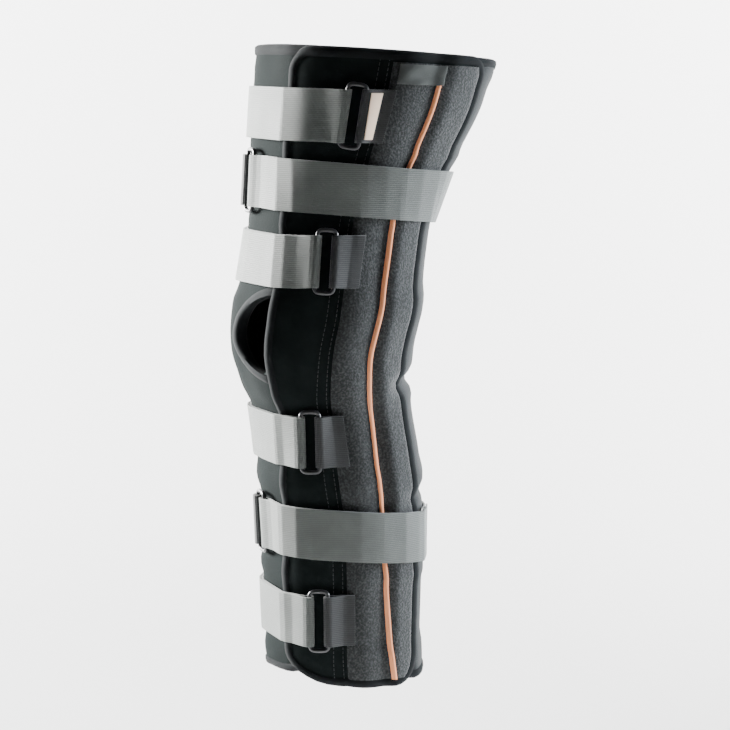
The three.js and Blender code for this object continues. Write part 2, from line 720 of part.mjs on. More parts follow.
STRAPS.forEach((strap, k) => {
  const curve = tautCurve(strap);
  const frame = ringFrame(strap, curve);
  addMesh(`strap_${k + 1}`, strapGeometry(strap, curve, frame), greyWebbing);
  addMesh(`ring_tab_${k + 1}`, tabGeometry(strap, frame), tabWebbing);
  const ring = addMesh(`ring_${k + 1}`, ringGeometry(), ringPlastic);
  const upright = frame.bar.clone().normalize();
  const basis = new THREE.Matrix4().makeBasis(upright.clone().cross(frame.out), upright, frame.out);
  ring.quaternion.setFromRotationMatrix(basis);
  ring.position.copy(frame.middle);
  if (k === 0) addMesh('label_strip', labelGeometry(strap, frame), peachLabel);
});

export default group;
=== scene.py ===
# Knee immobilizer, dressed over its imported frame: three foam panels with bound edges, brushed stay
# pockets with piping, and six webbing straps that turn through rings. Metres and degrees; the front
# faces -Y and angles run round the splint from there towards +X.
import math
import bpy
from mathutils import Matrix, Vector, noise


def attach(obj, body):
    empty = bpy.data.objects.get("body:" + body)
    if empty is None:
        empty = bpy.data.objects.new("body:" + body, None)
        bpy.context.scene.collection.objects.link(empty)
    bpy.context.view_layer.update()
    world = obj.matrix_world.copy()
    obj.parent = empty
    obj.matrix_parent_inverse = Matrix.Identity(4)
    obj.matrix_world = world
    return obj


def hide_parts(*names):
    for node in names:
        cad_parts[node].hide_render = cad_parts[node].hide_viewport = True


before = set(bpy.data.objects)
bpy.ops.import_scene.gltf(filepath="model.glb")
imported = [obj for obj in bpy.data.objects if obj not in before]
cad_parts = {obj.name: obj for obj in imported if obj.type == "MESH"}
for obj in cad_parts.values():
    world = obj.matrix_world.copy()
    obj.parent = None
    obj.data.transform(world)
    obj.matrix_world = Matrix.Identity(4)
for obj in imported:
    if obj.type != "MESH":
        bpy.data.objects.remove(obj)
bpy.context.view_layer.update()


# The three panels are foam with a black knit face, cut as flat shields and wrapped into a tube. The
# near side panel lies over the far one in front, and both lie over the back panel.
knee_height = 0.270
panel_height = 0.496
foam = 0.0055
layer_gap = 0.0007
top_lean = 0.007
bottom_lean = 0.008
thigh_reach = 0.086
thigh_set_back = 0.048
near_rear_edge = 115
back_edge = 102
underlap_edge = 38
kneecap_rise = 0.011
kneecap_half = 0.033
kneecap_far_edge = -10
top_corner = 0.016
bottom_corner = 0.028
front_corner_length = 0.040
rear_corner_length = 0.020
strap_half = 0.020
mean_reach = 0.072
leg_flats = (-145, -98, -49, 0, 49, 98, 145, 180)
flat_sharpness = 12

# height share, set-back share, reach share
leg_sections = [
    (0.00, 0.42, 0.622), (0.05, 0.38, 0.640), (0.12, 0.37, 0.655), (0.20, 0.37, 0.666),
    (0.28, 0.365, 0.669), (0.36, 0.29, 0.674), (0.43, 0.19, 0.655), (0.48, 0.06, 0.692),
    (0.54, 0.00, 0.744), (0.60, 0.10, 0.773), (0.68, 0.23, 0.756), (0.76, 0.375, 0.767),
    (0.84, 0.605, 0.866), (0.92, 0.855, 0.977), (1.00, 1.04, 1.000),
]
# height share, near panel's front edge, stay pocket's seam, piping (degrees)
panel_lines = [
    (0.00, 16, 61, 94), (0.20, 16.5, 61, 88), (0.36, 19, 57.5, 85), (0.43, 23, 58.5, 86),
    (0.54, 24.5, 65, 88.5), (0.68, 24, 66, 90.5), (0.84, 20, 66, 89.5), (1.00, 18, 66, 90.5),
]
# height share, rise towards the front
strap_rows = [(0.904, 0.003), (0.787, 0.008), (0.685, 0), (0.403, 0), (0.245, 0.006), (0.115, 0)]


def read_row(table, share, column):
    above = next((k for k, row in enumerate(table) if row[0] >= share), len(table) - 1)
    above = max(above, 1)
    low, high = table[above - 1], table[above]
    before, after = table[max(above - 2, 0)], table[min(above + 1, len(table) - 1)]
    step = high[0] - low[0]
    t = min(1, max(0, (share - low[0]) / step))
    slope_low = step * (high[column] - before[column]) / (high[0] - before[0])
    slope_high = step * (after[column] - low[column]) / (after[0] - low[0])
    rise = high[column] - low[column]
    bend = (3 * rise - 2 * slope_low - slope_high) + (slope_low + slope_high - 2 * rise) * t
    return low[column] + t * (slope_low + t * bend)


def mix(a, b, share):
    return a + (b - a) * share


def ease(share):
    t = min(1, max(0, share))
    return t * t * (3 - 2 * t)


def height_share(z):
    return (z + knee_height) / panel_height


def leg_reach(z):
    return thigh_reach * read_row(leg_sections, height_share(z), 2)


def leg_centre(z):
    return thigh_set_back * read_row(leg_sections, height_share(z), 1)


def section_share(angle):
    total = 0
    for flat in leg_flats:
        total += max(0, math.cos(math.radians(angle - flat))) ** flat_sharpness
    return total ** (-1 / flat_sharpness)


def off_leg(angle, z, distance):
    radius = leg_reach(z) * section_share(angle) + distance
    turn = math.radians(angle)
    return Vector((radius * math.sin(turn), leg_centre(z) - radius * math.cos(turn), z))


def angle_over(length, z):
    return math.degrees(length / (leg_reach(z) + foam))


# A side panel climbs over the back panel before its rear edge, and the near one over the far one.
rear_climb, rear_climb_run = 29, 12
front_climb, front_climb_run = 2, 24


def panel_lift(angle):
    rear = ease((abs(angle) - near_rear_edge + rear_climb) / rear_climb_run)
    front = 1 - ease((angle - underlap_edge - front_climb) / front_climb_run) if angle > 0 else 0
    return (foam + layer_gap) * (rear + front)


def far_lift(angle):
    return panel_lift(angle) if angle < 0 else 0


def near_front_edge(z):
    return read_row(panel_lines, height_share(z), 1)


def far_front_edge(z):
    off = (z - kneecap_rise) / kneecap_half
    if abs(off) >= 1:
        return underlap_edge
    return underlap_edge - (underlap_edge - kneecap_far_edge) * math.sqrt(1 - off * off)


def strap_middle(row, angle):
    return row[0] * panel_height - knee_height + row[1] * math.cos(math.radians(angle))


def pocket_seam(z):
    return read_row(panel_lines, height_share(z), 2)


# height, half height and depth of the folds across the back, one at the bend and one lower down
back_folds = [(-0.029, 0.0070, 0.0065), (-0.120, 0.0060, 0.0040)]
fold_start, fold_run = 98, 16


def hollow(distance, half):
    return math.exp(-(distance / half) ** 2)


# The angle from the front to a spot, whichever way round is shorter.
def angle_from_front(angle):
    return min(angle, 360 - angle) if angle > 0 else -angle


def knee_folds(angle, z):
    depths = [depth * hollow(z - height, half) for height, half, depth in back_folds]
    return ease((angle_from_front(angle) - fold_start) / fold_run) * sum(depths)


# Straps press the foam in, and it swells between them and carries soft wrinkles. The seams of the
# stay pockets draw it in, one crease runs slantwise from the near seam, and it folds at the back.
pressed, swell_height, swell_run = 0.0005, 0.0017, 0.016
wave_height, wrinkle_height = 0.0015, 0.0006
seam_depth, crease_height = 0.0011, 0.0012


def foam_relief(angle, z):
    away = min(abs(z - strap_middle(row, angle)) for row in strap_rows)
    free = ease((away - strap_half) / swell_run)
    spot = off_leg(angle, z, 0)
    wave = wave_height * noise.noise(Vector((spot.x * 24, spot.y * 24, spot.z * 15)))
    wrinkle = wrinkle_height * noise.noise(spot * 64 + Vector((3, 1, 7)))
    seam = seam_depth * hollow(angle_from_front(angle) - pocket_seam(z) + 1.2, 1.5)
    slant = (angle - 63) * 0.0011 + (z + 0.110) * 0.8
    crease = crease_height * hollow(slant, 0.0035) * hollow(angle - 69, 9)
    loose = wave + wrinkle
    return pressed + free * (swell_height + loose - seam + crease) - knee_folds(angle, z)


# The top and bottom eighths of the panels lean with the front, which stands a little higher.
lean_share = 0.125


def lean(level, angle):
    front = math.cos(math.radians(angle))
    top = max(0, level / panel_height - 1 + lean_share) / lean_share * top_lean * front
    bottom = max(0, lean_share - level / panel_height) / lean_share * bottom_lean
    return level - knee_height + top + bottom * max(0, front) ** 2


def corner_inset(distance, height, length):
    if distance >= height:
        return 0
    return length * (1 - math.sqrt(1 - (1 - distance / height) ** 2))


def corner_draw(level, length):
    top = corner_inset(panel_height - level, top_corner, top_corner)
    draw = max(corner_inset(level, bottom_corner, length), top)
    return angle_over(draw, level - knee_height)


# Rows of the grids, closer together in the rounded corners and round the far panel's notch.
def panel_levels(notched):
    levels = [k * panel_height / 100 for k in range(101)]
    corner_steps = [1 - math.cos(math.radians(turn)) for turn in (20, 40, 60)]
    levels += [bottom_corner * step for step in corner_steps]
    levels += [panel_height - top_corner * step for step in corner_steps]
    if notched:
        middle = knee_height + kneecap_rise
        levels = [level for level in levels if abs(level - middle) > kneecap_half + 0.002]
        levels += [middle + kneecap_half * math.sin(math.radians(turn)) for turn in range(-90, 91, 6)]
    return sorted(levels)


# Lays the cloth's own directions on a piece: round the splint and up it, in metres.
def write_wrap(piece):
    uv = piece.data.uv_layers.new(name="cloth")
    spots = [vertex.co for vertex in piece.data.vertices]
    turns = [math.atan2(spot.x, leg_centre(spot.z) - spot.y) for spot in spots]
    for face in piece.data.polygons:
        widest = max(turns[k] for k in face.vertices)
        for loop, k in zip(face.loop_indices, face.vertices):
            turn = turns[k] + 2 * math.pi if widest - turns[k] > math.pi else turns[k]
            uv.data[loop].uv = (turn * mean_reach, spots[k].z)


def new_grid(name, columns, rows):
    bpy.ops.object.select_all(action="DESELECT")
    bpy.ops.mesh.primitive_grid_add(x_subdivisions=columns, y_subdivisions=rows, size=1)
    piece = bpy.context.object
    piece.name = name
    return piece


def solidify(piece, thickness, offset):
    wall = piece.modifiers.new("wall", "SOLIDIFY")
    wall.thickness = thickness
    wall.offset = offset
    wall.use_even_offset = True
    bpy.ops.object.modifier_apply(modifier=wall.name)


def knit_material(name, shade, fleck, sheen, bump, shine=0.12):
    cloth = bpy.data.materials.new(name)
    cloth.use_nodes = True
    nodes, links = cloth.node_tree.nodes, cloth.node_tree.links
    surface = nodes["Principled BSDF"]
    surface.inputs["Sheen Weight"].default_value = sheen
    surface.inputs["Sheen Roughness"].default_value = 0.45
    surface.inputs["Specular IOR Level"].default_value = shine
    place = nodes.new("ShaderNodeUVMap")
    place.uv_map = "cloth"
    stitches = nodes.new("ShaderNodeMapping")
    stitches.inputs["Scale"].default_value = (900, 1300, 1)
    links.new(place.outputs["UV"], stitches.inputs["Vector"])
    knit = nodes.new("ShaderNodeTexVoronoi")
    knit.inputs["Scale"].default_value = 1.0
    links.new(stitches.outputs["Vector"], knit.inputs["Vector"])
    where = nodes.new("ShaderNodeTexCoord")
    cloud = nodes.new("ShaderNodeTexNoise")
    cloud.inputs["Scale"].default_value = 28
    cloud.inputs["Detail"].default_value = 6
    links.new(where.outputs["Object"], cloud.inputs["Vector"])
    tint = nodes.new("ShaderNodeMix")
    tint.data_type = "RGBA"
    tint.inputs["A"].default_value = (*shade, 1)
    tint.inputs["B"].default_value = (*fleck, 1)
    links.new(cloud.outputs["Fac"], tint.inputs["Factor"])
    links.new(tint.outputs["Result"], surface.inputs["Base Color"])
    rough = nodes.new("ShaderNodeMapRange")
    rough.inputs["To Min"].default_value = 0.78
    rough.inputs["To Max"].default_value = 0.98
    links.new(cloud.outputs["Fac"], rough.inputs["Value"])
    links.new(rough.outputs["Result"], surface.inputs["Roughness"])
    fine = nodes.new("ShaderNodeBump")
    fine.inputs["Strength"].default_value = bump
    fine.inputs["Distance"].default_value = 0.0003
    links.new(knit.outputs["Distance"], fine.inputs["Height"])
    coarse = nodes.new("ShaderNodeBump")
    coarse.inputs["Strength"].default_value = 0.35
    coarse.inputs["Distance"].default_value = 0.0012
    links.new(cloud.outputs["Fac"], coarse.inputs["Height"])
    links.new(fine.outputs["Normal"], coarse.inputs["Normal"])
    links.new(coarse.outputs["Normal"], surface.inputs["Normal"])
    return cloth


foam_cloth = knit_material("foam_cloth", (0.005, 0.007, 0.007), (0.012, 0.016, 0.016),
                           0.02, 0.4, shine=0.03)
# The back panel has the same black knit as the sides, but its colour is painted a little lighter and
# bluer as painted rim light from behind.
rim_lit_back_cloth = knit_material("rim_lit_back_cloth", (0.008, 0.010, 0.011), (0.018, 0.022, 0.024),
                           0.12, 0.4, shine=0.2)


# The foam ends a little inside the outline, because the tape goes round its edge.
def foam_panel(name, node, start, end, corners, lift, relief, cloth, columns, notched=False):
    levels = panel_levels(notched)
    panel = new_grid(name, columns, len(levels) - 1)
    inset = 0.0012
    for vertex in panel.data.vertices:
        across = vertex.co.x + 0.5
        level = levels[round((vertex.co.y + 0.5) * (len(levels) - 1))]
        level = min(max(level, inset), panel_height - inset)
        z = level - knee_height
        edge = angle_over(inset, z)
        first = start(z) + edge + corner_draw(level, corners[0])
        last = end(z) - edge - corner_draw(level, corners[1])
        angle = mix(first, last, across)
        z = lean(level, angle)
        vertex.co = off_leg(angle, z, lift(angle) + foam + relief(angle, z))
    solidify(panel, foam, -1)
    write_wrap(panel)
    bpy.ops.object.shade_smooth_by_angle(angle=math.radians(50))
    panel.data.materials.append(cloth)
    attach(panel, "root")
    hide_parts(node)


# The far panel lies flat where the near one covers it.
def far_relief(angle, z):
    return foam_relief(angle, z) * ease((near_front_edge(z) + 2 - angle) / 5)


# The back panel lies flat under the side panels, but its folds go on under them.
def back_relief(angle, z):
    folds = knee_folds(angle, z)
    bare = ease((angle_from_front(angle) - near_rear_edge) / 6)
    return (foam_relief(angle, z) + folds) * bare - folds


near_corners = (front_corner_length, rear_corner_length)
far_corners = (rear_corner_length, front_corner_length)
back_corners = (rear_corner_length, rear_corner_length)
foam_panel("near_side_foam", "side_panel_near", near_front_edge, lambda z: near_rear_edge,
           near_corners, panel_lift, foam_relief, foam_cloth, columns=110)
foam_panel("far_side_foam", "side_panel_far", lambda z: -near_rear_edge, far_front_edge,
           far_corners, far_lift, far_relief, foam_cloth, columns=90, notched=True)
foam_panel("back_foam", "back_panel", lambda z: back_edge, lambda z: 360 - back_edge,
           back_corners, lambda angle: 0, back_relief, rim_lit_back_cloth, columns=80)


# Each panel's edge is wrapped in a black woven tape, folded over it like a channel. The tape covers
# about 7 mm of each face, follows the foam's swell outside and is puckered a little by its sewing.
tape_cover = 0.0068
tape_wall = 0.0007
pucker_height = 0.00025
arc_steps = 8
level_steps = 36


# Spots once round a panel's outline, as angle and level, anticlockwise as seen from outside.
def panel_rim(start, end, corners, notched):
    rim = []

    def arc(side, level, height, length, first, last):
        for step in range(arc_steps + 1):
            turn = math.radians(mix(first, last, step / arc_steps))
            edge = end if side > 0 else start
            z = level - knee_height
            angle = edge(z) - side * angle_over(length, z) + angle_over(length * math.cos(turn), z)
            rim.append((angle, level + height * math.sin(turn)))

    def run(edge, first, last, steps):
        for step in range(1, steps):
            level = mix(first, last, step / steps)
            rim.append((edge(level - knee_height), level))

    arc(1, bottom_corner, bottom_corner, corners[1], -90, 0)
    if notched:
        middle = knee_height + kneecap_rise
        run(end, bottom_corner, middle - kneecap_half, 50)
        for turn in range(-88, 89, 4):
            level = middle + kneecap_half * math.sin(math.radians(turn))
            depth = (underlap_edge - kneecap_far_edge) * math.cos(math.radians(turn))
            rim.append((underlap_edge - depth, level))
        run(end, middle + kneecap_half, panel_height - top_corner, 40)
    else:
        run(end, bottom_corner, panel_height - top_corner, 100)
    arc(1, panel_height - top_corner, top_corner, top_corner, 0, 90)
    top_right = rim[-1][0]
    arc(-1, panel_height - top_corner, top_corner, top_corner, 90, 180)
    arc_start = len(rim) - arc_steps - 1
    top_left = rim[arc_start][0]
    shares = [step / level_steps for step in range(1, level_steps)]
    rim[arc_start:arc_start] = [(mix(top_right, top_left, share), panel_height) for share in shares]
    run(start, panel_height - top_corner, bottom_corner, 100)
    arc(-1, bottom_corner, bottom_corner, corners[0], 180, 270)
    first, last = rim[0][0], rim[-1][0]
    rim += [(mix(last, first, share), 0) for share in shares]
    return rim


# Joins a rolled-up grid into a tube, closes the tube's ends if asked, and turns its faces out.
def close_tube(capped):
    bpy.ops.object.mode_set(mode="EDIT")
    bpy.ops.mesh.select_all(action="SELECT")
    bpy.ops.mesh.remove_doubles(threshold=0.00001)
    if capped:
        bpy.ops.mesh.select_all(action="DESELECT")
        bpy.ops.mesh.select_non_manifold()
        bpy.ops.mesh.edge_face_add()
        bpy.ops.mesh.select_all(action="SELECT")
    bpy.ops.mesh.normals_make_consistent(inside=False)
    bpy.ops.object.mode_set(mode="OBJECT")


def binding_tape(name, node, rim, lift, relief):
    # distance in from the outline, height over the foam's inner face
    section = [
        (tape_cover, foam + 0.0002), (tape_cover * 0.92, foam + 0.0010), (0.0035, foam + 0.0013),
        (0.0008, foam + 0.0009), (-0.0005, foam * 0.75), (-0.0008, foam * 0.5), (-0.0005, foam * 0.25),
        (0.0008, -0.0002), (0.0035, -0.0003), (tape_cover, -0.0003),
    ]
    tape = new_grid(name, len(rim), len(section) - 1)
    count = len(rim)
    for vertex in tape.data.vertices:
        k = round((vertex.co.x + 0.5) * count) % count
        inset, rise = section[round((vertex.co.y + 0.5) * (len(section) - 1))]
        angle, level = rim[k]
        before, after = rim[(k - 2) % count], rim[(k + 2) % count]
        reach = leg_reach(level - knee_height) + foam
        along = Vector((math.radians(after[0] - before[0]) * reach, after[1] - before[1])).normalized()
        inward = Vector((-along.y, along.x))
        spot_angle = angle + math.degrees(inward.x * inset / reach)
        z = lean(level + inward.y * inset, spot_angle)
        swell = relief(spot_angle, z) if rise > foam * 0.5 else -knee_folds(spot_angle, z)
        ripple = noise.noise(off_leg(spot_angle, z, 0) * 160) if rise > 0 else 0
        height = lift(spot_angle) + rise + swell + pucker_height * ripple
        vertex.co = off_leg(spot_angle, z, height)
    close_tube(capped=False)
    solidify(tape, tape_wall, -1)
    write_wrap(tape)
    bpy.ops.object.shade_smooth_by_angle(angle=math.radians(60))
    tape.data.materials.append(tape_cloth)
    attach(tape, "root")
    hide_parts(node)


tape_cloth = knit_material("tape_cloth", (0.006, 0.007, 0.008), (0.015, 0.017, 0.018),
                           0.04, 0.3, shine=0.06)
near_rim = panel_rim(near_front_edge, lambda z: near_rear_edge, near_corners, False)
far_rim = panel_rim(lambda z: -near_rear_edge, lambda z: underlap_edge, far_corners, True)
back_rim = panel_rim(lambda z: back_edge, lambda z: 360 - back_edge, back_corners, False)
binding_tape("near_side_tape", "binding_near", near_rim, panel_lift, foam_relief)
binding_tape("far_side_tape", "binding_far", far_rim, far_lift, far_relief)
binding_tape("back_tape", "binding_back", back_rim, lambda angle: 0, back_relief)


# The stay pockets are brushed loop cloth, sewn flat on the sides from a seam to the rear edge.
# Hook ends grip anywhere on them, so the pile is rubbed and uneven.
pocket_pile = 0.0013
pocket_cloth = 0.0012
pocket_ends = 0.006
pocket_rear_gap = 0.0055


def brushed_material():
    cloth = knit_material("brushed_cloth", (0.014, 0.016, 0.016), (0.034, 0.037, 0.037), 0.4, 0.2)
    nodes, links = cloth.node_tree.nodes, cloth.node_tree.links
    surface = nodes["Principled BSDF"]
    where = nodes.new("ShaderNodeTexCoord")
    pile = nodes.new("ShaderNodeTexNoise")
    pile.inputs["Scale"].default_value = 620
    pile.inputs["Detail"].default_value = 3
    links.new(where.outputs["Object"], pile.inputs["Vector"])
    fleck = nodes.new("ShaderNodeMapRange")
    fleck.inputs["From Min"].default_value = 0.42
    fleck.inputs["From Max"].default_value = 0.72
    links.new(pile.outputs["Fac"], fleck.inputs["Value"])
    shade = nodes.new("ShaderNodeMix")
    shade.data_type = "RGBA"
    shade.inputs["B"].default_value = (0.060, 0.063, 0.066, 1)
    base = surface.inputs["Base Color"].links[0].from_socket
    links.new(base, shade.inputs["A"])
    links.new(fleck.outputs["Result"], shade.inputs["Factor"])
    links.new(shade.outputs["Result"], surface.inputs["Base Color"])
    fur = nodes.new("ShaderNodeBump")
    fur.inputs["Strength"].default_value = 0.9
    fur.inputs["Distance"].default_value = 0.0007
    links.new(pile.outputs["Fac"], fur.inputs["Height"])
    links.new(surface.inputs["Normal"].links[0].from_socket, fur.inputs["Normal"])
    links.new(fur.outputs["Normal"], surface.inputs["Normal"])
    return cloth


brushed_cloth = brushed_material()


def stay_pocket(name, node, side):
    levels = panel_levels(False)
    levels = [level for level in levels if pocket_ends < level < panel_height - pocket_ends]
    pocket = new_grid(name, 34, len(levels) - 1)
    for vertex in pocket.data.vertices:
        across = vertex.co.x + 0.5
        level = levels[round((vertex.co.y + 0.5) * (len(levels) - 1))]
        z = level - knee_height
        rear = near_rear_edge - angle_over(pocket_rear_gap, z) - corner_draw(level, rear_corner_length)
        angle = side * mix(pocket_seam(z), rear, across if side > 0 else 1 - across)
        z = lean(level, angle)
        from_rim = min(across, 1 - across)
        crown = pocket_pile * ease(from_rim / 0.04) + 0.0003
        relief = foam_relief(angle, z)
        vertex.co = off_leg(angle, z, panel_lift(angle) + foam + relief + crown)
    solidify(pocket, pocket_cloth, -1)
    write_wrap(pocket)
    bpy.ops.object.shade_smooth_by_angle(angle=math.radians(60))
    pocket.data.materials.append(brushed_cloth)
    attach(pocket, "root")
    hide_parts(node)


stay_pocket("near_stay_pocket", "stay_pocket_near", 1)
stay_pocket("far_stay_pocket", "stay_pocket_far", -1)


# Two rows of black thread run in front of each pocket's seam, and dip under the foam's face at
# every stitch.
stitch_length = 0.0036
stitch_dip = 0.0005
thread_radius = 0.00032
thread_ends = 0.007


def thread_row(name, node, side, ahead):
    stitches = round((panel_height - 2 * thread_ends) / stitch_length)
    thread = new_grid(name, 6, stitches * 5)
    for vertex in thread.data.vertices:
        turn = (vertex.co.x + 0.5) * 2 * math.pi
        level = mix(thread_ends, panel_height - thread_ends, vertex.co.y + 0.5)
        z = level - knee_height
        angle = side * (pocket_seam(z) - angle_over(ahead + thread_radius * math.cos(turn), z))
        z = lean(level, angle)
        dip = stitch_dip * math.cos(2 * math.pi * level / stitch_length)
        base = panel_lift(angle) + foam + foam_relief(angle, z) + dip
        vertex.co = off_leg(angle, z, base + thread_radius * math.sin(turn))
    close_tube(capped=True)
    write_wrap(thread)
    bpy.ops.object.shade_smooth_by_angle(angle=math.radians(60))
    thread.data.materials.append(thread_cloth)
    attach(thread, "root")
    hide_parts(node)


thread_cloth = knit_material("thread_cloth", (0.020, 0.022, 0.023), (0.045, 0.048, 0.050), 0.3, 0.2)
for row, ahead in enumerate((0.0030, 0.0098)):
    thread_row(f"near_thread_{row}", "side_panel_near", 1, ahead)
    thread_row(f"far_thread_{row}", "side_panel_far", -1, ahead)


# An orange piping, cloth over a thin cord, is sewn down the middle of each pocket. The far one runs
# from binding to binding, and the near one ends at the top under the flap.
cord_half_width = 0.0018
cord_half_height = 0.0011
cord_seat = 0.0007
cord_ends = 0.006


def piping_line(z):
    return read_row(panel_lines, height_share(z), 3)


piping_cloth = knit_material("piping_cloth", (0.80, 0.27, 0.12), (0.90, 0.38, 0.20), 0.3, 0.3)


def piping(name, node, side, top):
    cord = new_grid(name, 8, 160)
    for vertex in cord.data.vertices:
        turn = (vertex.co.x + 0.5) * 2 * math.pi
        level = mix(cord_ends, top, vertex.co.y + 0.5)
        z = level - knee_height
        angle = side * piping_line(z) + angle_over(-cord_half_width * math.cos(turn), z)
        z = lean(level, angle)
        base = panel_lift(angle) + foam + foam_relief(angle, z) + pocket_pile
        vertex.co = off_leg(angle, z, base + cord_seat + cord_half_height * math.sin(turn))
    close_tube(capped=True)
    write_wrap(cord)
    bpy.ops.object.shade_smooth_by_angle(angle=math.radians(60))
    cord.data.materials.append(piping_cloth)
    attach(cord, "root")
    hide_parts(node)


flap_gap = 0.004
under_flap = 0.004
flap_low = strap_rows[0][0] * panel_height + strap_half + flap_gap
piping("near_piping", "piping_near", 1, flap_low + under_flap)
piping("far_piping", "piping_far", -1, panel_height - cord_ends)


# The straps are 40 mm grey webbing, sewn at the rear, passed through their ring and folded back.
# The rings' tabs are the same webbing in black. Both start from the frame's own bands.
fold_length = 0.0022
shortest_rounded = 0.0024
longest_step = 0.0045
webbing_wave = 0.001


def webbing_material(name, low_shade, high_shade):
    cloth = bpy.data.materials.new(name)
    cloth.use_nodes = True
    nodes, links = cloth.node_tree.nodes, cloth.node_tree.links
    surface = nodes["Principled BSDF"]
    surface.inputs["Sheen Weight"].default_value = 0.25
    surface.inputs["Specular IOR Level"].default_value = 0.35
    place = nodes.new("ShaderNodeUVMap")
    place.uv_map = "cloth"
    ribs = nodes.new("ShaderNodeTexWave")
    ribs.wave_type = "BANDS"
    ribs.bands_direction = "Y"
    ribs.inputs["Scale"].default_value = 210
    ribs.inputs["Distortion"].default_value = 0.6
    ribs.inputs["Detail"].default_value = 2
    links.new(place.outputs["UV"], ribs.inputs["Vector"])
    picks = nodes.new("ShaderNodeTexWave")
    picks.wave_type = "BANDS"
    picks.bands_direction = "X"
    picks.inputs["Scale"].default_value = 420
    picks.inputs["Distortion"].default_value = 0.8
    links.new(place.outputs["UV"], picks.inputs["Vector"])
    weave = nodes.new("ShaderNodeMath")
    weave.operation = "MULTIPLY"
    links.new(ribs.outputs["Fac"], weave.inputs[0])
    links.new(picks.outputs["Fac"], weave.inputs[1])
    where = nodes.new("ShaderNodeTexCoord")
    wear = nodes.new("ShaderNodeTexNoise")
    wear.inputs["Scale"].default_value = 45
    wear.inputs["Detail"].default_value = 8
    links.new(where.outputs["Object"], wear.inputs["Vector"])
    tint = nodes.new("ShaderNodeMix")
    tint.data_type = "RGBA"
    tint.inputs["A"].default_value = (*low_shade, 1)
    tint.inputs["B"].default_value = (*high_shade, 1)
    blend = nodes.new("ShaderNodeMath")
    blend.operation = "MULTIPLY_ADD"
    blend.inputs[1].default_value = 0.45
    links.new(weave.outputs["Value"], blend.inputs[0])
    links.new(wear.outputs["Fac"], blend.inputs[2])
    links.new(blend.outputs["Value"], tint.inputs["Factor"])
    links.new(tint.outputs["Result"], surface.inputs["Base Color"])
    rough = nodes.new("ShaderNodeMapRange")
    rough.inputs["To Min"].default_value = 0.55
    rough.inputs["To Max"].default_value = 0.8
    links.new(wear.outputs["Fac"], rough.inputs["Value"])
    links.new(rough.outputs["Result"], surface.inputs["Roughness"])
    bump = nodes.new("ShaderNodeBump")
    bump.inputs["Strength"].default_value = 0.6
    bump.inputs["Distance"].default_value = 0.0004
    links.new(weave.outputs["Value"], bump.inputs["Height"])
    links.new(bump.outputs["Normal"], surface.inputs["Normal"])
    return cloth


grey_webbing = webbing_material("grey_webbing", (0.060, 0.068, 0.064), (0.125, 0.138, 0.130))
black_webbing = webbing_material("black_webbing", (0.010, 0.011, 0.012), (0.030, 0.032, 0.034))


def from_frame(name, node):
    bpy.ops.object.select_all(action="DESELECT")
    piece = bpy.data.objects[node].copy()
    piece.data = piece.data.copy()
    piece.name = name
    bpy.context.collection.objects.link(piece)
    piece.select_set(True)
    bpy.context.view_layer.objects.active = piece
    piece.data.materials.clear()
    bpy.ops.object.mode_set(mode="EDIT")
    bpy.ops.mesh.select_all(action="SELECT")
    bpy.ops.mesh.remove_doubles(threshold=0.00002)
    bpy.ops.mesh.tris_convert_to_quads(face_threshold=math.radians(60), shape_threshold=math.radians(60))
    bpy.ops.object.mode_set(mode="OBJECT")
    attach(piece, "root")
    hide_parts(node)
    return piece


# Divides the edges whose run from end to end passes the given test.
def cut_edges(piece, is_cut, cuts):
    bpy.ops.object.mode_set(mode="EDIT")
    bpy.ops.mesh.select_all(action="DESELECT")
    bpy.ops.object.mode_set(mode="OBJECT")
    points = piece.data.vertices
    for edge in piece.data.edges:
        first, last = (points[k].co for k in edge.vertices)
        edge.select = is_cut(last - first)
    bpy.ops.object.mode_set(mode="EDIT")
    bpy.ops.mesh.select_mode(type="EDGE")
    bpy.ops.mesh.subdivide(number_cuts=cuts)
    bpy.ops.mesh.select_mode(type="VERT")
    bpy.ops.object.mode_set(mode="OBJECT")


def runs_along(run, shortest):
    return run.xy.length > shortest and abs(run.z) < run.length * 0.5


# Rounds a band between the section's flats, and leaves its short fold at the ring as it is. Each
# round draws every spot towards its neighbours and then away again, so that the band doesn't shrink.
def round_off(band, rounds):
    points = band.data.vertices
    along = [[] for _ in points]
    for edge in band.data.edges:
        first, last = edge.vertices
        if runs_along(points[last].co - points[first].co, fold_length):
            along[first].append(last)
            along[last].append(first)
    for share in (0.5, -0.52) * rounds:
        spots = [vertex.co.copy() for vertex in points]
        for k, near in enumerate(along):
            if len(near) != 2:
                continue
            before, after = spots[near[0]], spots[near[1]]
            to_before, to_after = (spots[k] - before).length, (after - spots[k]).length
            if min(to_before, to_after) < shortest_rounded:
                continue
            chord = before.lerp(after, to_before / (to_before + to_after))
            points[k].co = spots[k].lerp(chord, share)


def soften_edges(piece, width):
    bevel = piece.modifiers.new("edge", "BEVEL")
    bevel.width = width
    bevel.segments = 2
    bevel.angle_limit = math.radians(50)
    bpy.ops.object.modifier_apply(modifier=bevel.name)


def subdivide_surface(piece, levels):
    smooth = piece.modifiers.new("smooth", "SUBSURF")
    smooth.levels = smooth.render_levels = levels
    bpy.ops.object.modifier_apply(modifier=smooth.name)
    bpy.ops.object.shade_smooth()


